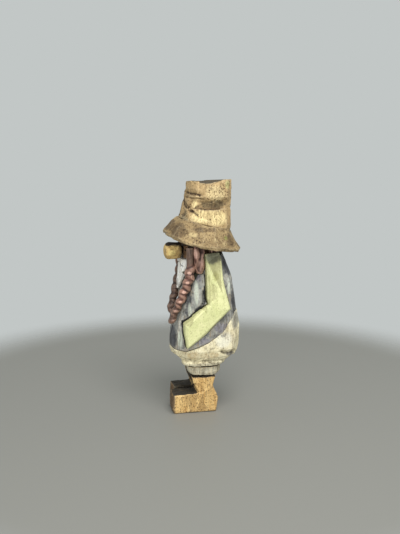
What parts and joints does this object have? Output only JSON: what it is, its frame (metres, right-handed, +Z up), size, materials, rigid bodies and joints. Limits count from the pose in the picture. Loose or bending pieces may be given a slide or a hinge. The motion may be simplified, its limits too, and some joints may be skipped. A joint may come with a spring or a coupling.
{
  "type": "carved wooden figurine",
  "caption": "Small hand-carved wooden figure standing with its hands in its pockets: slouched hat, knob nose, beard, two braids, coat, baggy turned-up trousers and long square feet.",
  "frame": {"origin": "on the resting surface, under the middle of the figure's outline", "axes": "+Z up through the hat, -Y the way the figure looks, +X the figure's left"},
  "size_m": [0.0426, 0.0418, 0.1268],
  "materials": {
    "hat_wood": "knife-cut bare wood toned light brown with a thin wash, dark in the cuts",
    "bare_wood": "knife-cut bare wood, oiled, with dark-stained end grain",
    "peg_wood": "raw dowel",
    "hair_wash": "thin red-brown paint wash, worn on the high spots",
    "beard_wash": "thin white paint wash",
    "scarf_wash": "thin dark green paint wash",
    "coat_wash": "thin blue-grey paint wash, worn to the wood on the edges",
    "sleeve_wash": "thin pale yellow-green paint wash",
    "trouser_wash": "thin cream paint wash, grey in the folds"
  },
  "bodies": {
    "root": {"hat_crown": "hat_wood", "hat_brim": "hat_wood", "hat_peg": "peg_wood", "head": "bare_wood", "nose": "bare_wood", "beard": "beard_wash", "hair_nape": "hair_wash", "hair_lock_left": "hair_wash", "hair_lock_right": "hair_wash", "braid_left": "hair_wash", "braid_right": "hair_wash", "neckerchief": "scarf_wash", "neck_peg": "peg_wood", "coat": "coat_wash", "waist_peg": "peg_wood", "trousers": "trouser_wash", "arm_left": "sleeve_wash", "arm_right": "sleeve_wash", "arm_peg_left": "peg_wood", "arm_peg_right": "peg_wood", "cuff_left": "trouser_wash", "cuff_right": "trouser_wash", "leg_left": "bare_wood", "leg_right": "bare_wood"}
  },
  "joints": []
}
